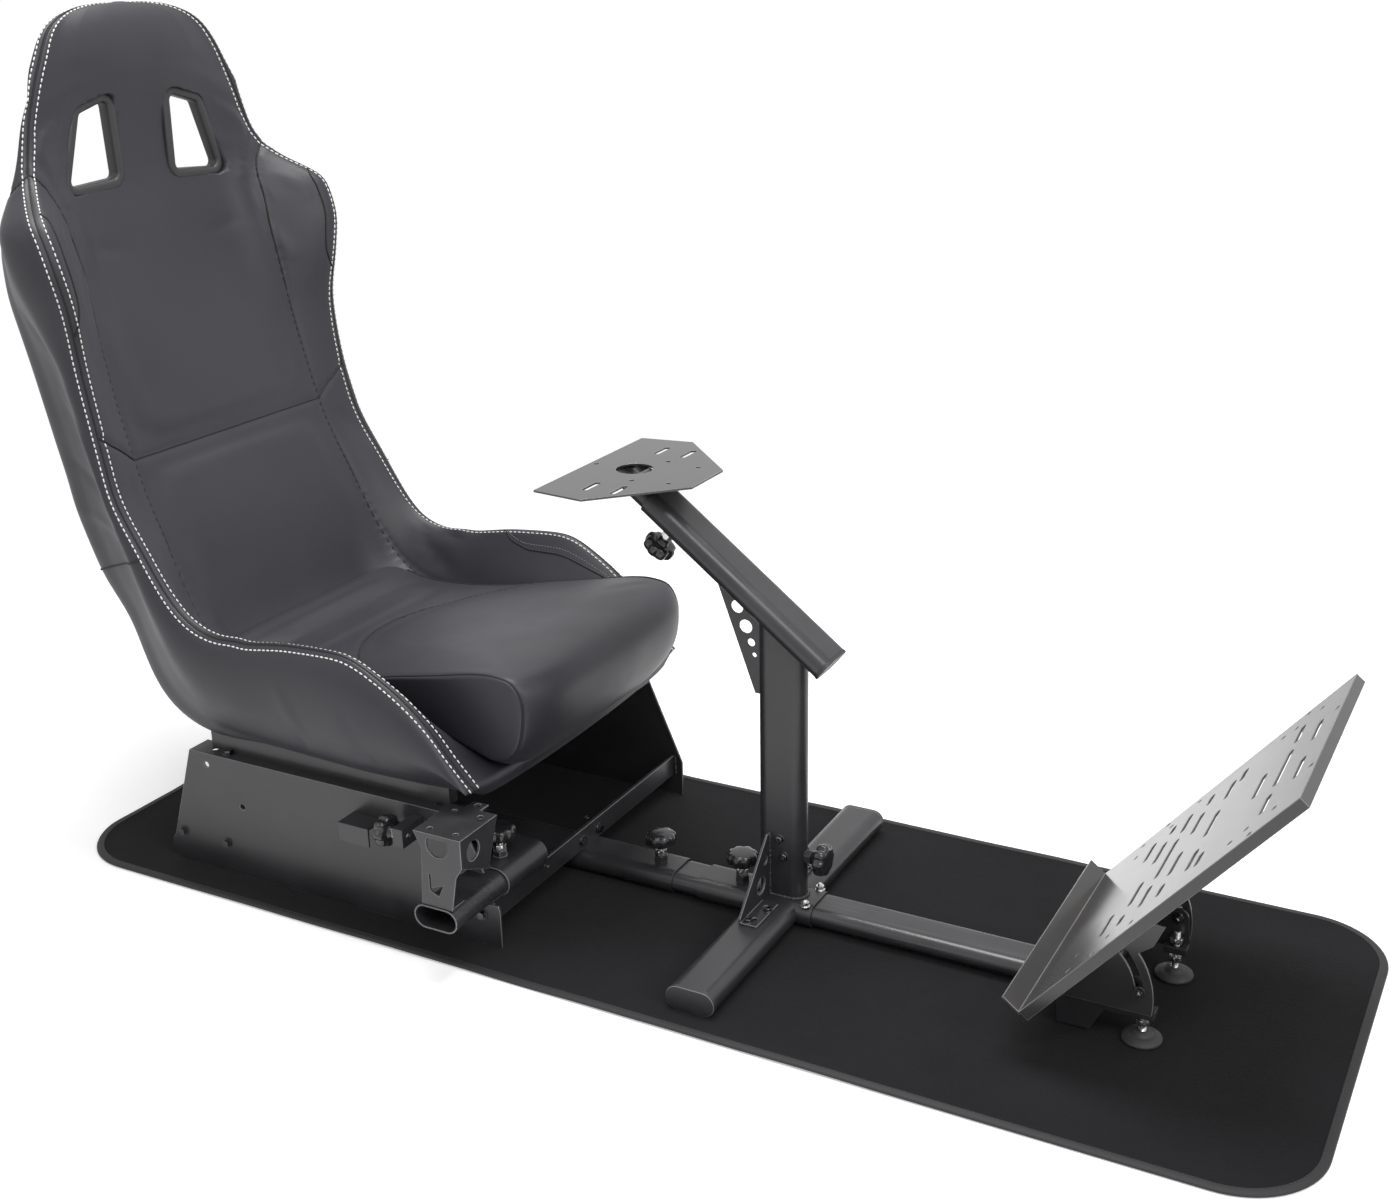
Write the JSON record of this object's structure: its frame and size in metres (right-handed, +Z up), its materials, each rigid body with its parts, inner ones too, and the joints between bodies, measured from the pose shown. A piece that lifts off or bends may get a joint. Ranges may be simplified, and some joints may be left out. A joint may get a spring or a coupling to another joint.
{
  "type": "sim racing cockpit",
  "caption": "Sim racing cockpit: bucket seat on a folded steel base, telescoping flat-oval spine, inclined wheel arm, slotted pedal plate and side shifter tower on a floor mat.",
  "frame": {"origin": "centre of the mat's underside, on the floor", "axes": "+X forward from the seat to the pedals, +Y to the driver's left, +Z up"},
  "size_m": [1.656, 0.589, 1.058],
  "materials": {
    "carpet": "needle-felt pile with a bound edge",
    "frame_steel": "black satin powder coat",
    "inner_steel": "black satin powder coat, slightly rubbed by sliding",
    "grey_steel": "light warm grey powder coat",
    "knob_plastic": "glossy moulded plastic",
    "cap_plastic": "matt moulded plastic",
    "foot_rubber": "rubber pad on a threaded stem",
    "seat_leather": "grained synthetic leather with white double stitching"
  },
  "bodies": {
    "seat_base": {"floor_mat": "carpet", "side_plate_left": "frame_steel", "side_plate_right": "frame_steel", "front_crossbar": "frame_steel", "rear_crossbar": "frame_steel", "seat_rail_left": "frame_steel", "seat_rail_right": "frame_steel", "rear_spine_tube": "frame_steel", "shifter_sleeve": "frame_steel", "shifter_bracket": "frame_steel", "seat_lower_shell": "seat_leather", "seat_upper_shell": "seat_leather", "back_pad": "seat_leather", "lumbar_pad": "seat_leather", "seat_cushion": "seat_leather", "belt_bezel_left": "cap_plastic", "belt_bezel_right": "cap_plastic"},
    "rear_knob": {"rear_spine_knob": "knob_plastic"},
    "spine_link": {"spine_link_tube": "inner_steel"},
    "wheel_stand": {"stand_sleeve": "frame_steel", "cross_foot_left": "frame_steel", "cross_foot_right": "frame_steel", "foot_cap_left": "cap_plastic", "foot_cap_right": "cap_plastic", "post": "frame_steel", "post_gusset_left": "frame_steel", "post_gusset_right": "frame_steel", "arm_outer_tube": "frame_steel", "arm_gusset": "frame_steel", "arm_end_cap": "cap_plastic"},
    "stand_knob": {"stand_rear_knob": "knob_plastic"},
    "front_knob": {"post_knob": "knob_plastic"},
    "tilt_knob": {"arm_knob": "knob_plastic"},
    "wheel_deck": {"arm_inner_tube": "inner_steel", "wheel_plate": "grey_steel"},
    "pedal_base": {"pedal_tube": "inner_steel", "pedal_frame": "frame_steel", "pedal_foot_left": "foot_rubber", "pedal_foot_right": "foot_rubber"},
    "pedal_deck": {"pedal_plate": "grey_steel"},
    "shifter_stand": {"shifter_tube": "inner_steel", "shifter_tower": "frame_steel"},
    "sleeve_knob": {"shifter_knob": "knob_plastic"},
    "lock_knob": {"shifter_lock_knob": "knob_plastic"}
  },
  "joints": [
    {"name": "rear_knob_turn", "type": "hinge", "parent": "seat_base", "child": "rear_knob", "pos_m": [-0.046, 0, 0.06], "axis": [0, 0, 1], "continuous": true},
    {"name": "rear_extension", "type": "slide", "parent": "seat_base", "child": "spine_link", "axis": [1, 0, 0], "range_m": [0, 0.09]},
    {"name": "stand_extension", "type": "slide", "parent": "spine_link", "child": "wheel_stand", "axis": [1, 0, 0], "range_m": [0, 0.044]},
    {"name": "stand_knob_turn", "type": "hinge", "parent": "wheel_stand", "child": "stand_knob", "pos_m": [0.069, 0, 0.06], "axis": [0, 0, 1], "continuous": true},
    {"name": "front_knob_turn", "type": "hinge", "parent": "wheel_stand", "child": "front_knob", "pos_m": [0.17, 0, 0.088], "axis": [1, 0, 0], "continuous": true},
    {"name": "tilt_knob_turn", "type": "hinge", "parent": "wheel_stand", "child": "tilt_knob", "pos_m": [-0.03181, 0, 0.46031], "axis": [0.6088, 0, 0.7934], "continuous": true},
    {"name": "deck_extension", "type": "slide", "parent": "wheel_stand", "child": "wheel_deck", "axis": [-0.7934, 0, 0.6088], "range_m": [0, 0.1]},
    {"name": "pedal_extension", "type": "slide", "parent": "wheel_stand", "child": "pedal_base", "axis": [1, 0, 0], "range_m": [0, 0.044]},
    {"name": "pedal_tilt", "type": "hinge", "parent": "pedal_base", "child": "pedal_deck", "pos_m": [0.5, 0, 0.06], "axis": [0, 1, 0], "range_deg": [0, 20]},
    {"name": "shifter_extension", "type": "slide", "parent": "seat_base", "child": "shifter_stand", "axis": [0, -1, 0], "range_m": [0, 0.05]},
    {"name": "sleeve_knob_turn", "type": "hinge", "parent": "seat_base", "child": "sleeve_knob", "pos_m": [-0.168, -0.175, 0.12], "axis": [0, 0, 1], "continuous": true},
    {"name": "lock_knob_turn", "type": "hinge", "parent": "seat_base", "child": "lock_knob", "pos_m": [-0.262, -0.255, 0.145], "axis": [1, 0, 0], "continuous": true}
  ]
}
